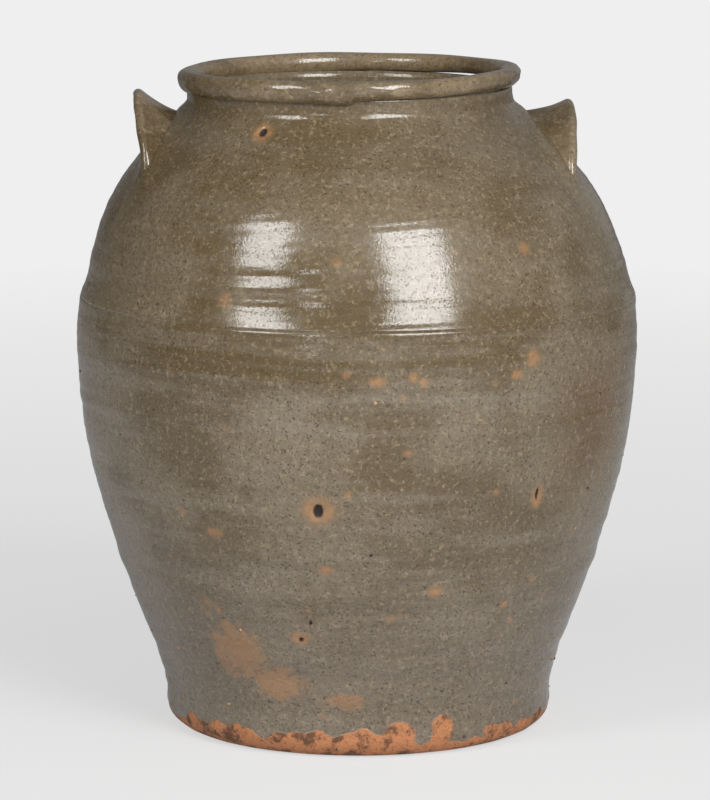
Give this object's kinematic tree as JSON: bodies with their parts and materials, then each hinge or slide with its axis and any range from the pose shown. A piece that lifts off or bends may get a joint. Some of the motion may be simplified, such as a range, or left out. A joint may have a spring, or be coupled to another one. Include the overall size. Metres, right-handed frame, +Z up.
{
  "type": "stoneware storage jar",
  "caption": "Wide-mouthed ovoid stoneware storage jar with a rolled rim, short neck and hooded lug handles on the shoulder; stands on a flat foot and holds food, brine or liquid.",
  "frame": {"origin": "middle of the flat foot, on the surface the jar stands on", "axes": "+Z up the jar's axis; -Y is the side the picture shows; the left lug is at -X and the right lug at +X"},
  "size_m": [0.3243, 0.3242, 0.3819],
  "materials": {
    "glazed_body": "olive-brown ash glaze, speckled and glossy",
    "glazed_shoulder": "olive-brown ash glaze, speckled and glossy",
    "glazed_rim": "olive-brown ash glaze, speckled and glossy",
    "glazed_lug": "olive-brown ash glaze, speckled and glossy"
  },
  "bodies": {
    "root": {"lower_section": "glazed_body", "upper_section": "glazed_shoulder", "rim_coil": "glazed_rim", "left_lug": "glazed_lug", "right_lug": "glazed_lug"}
  },
  "joints": []
}
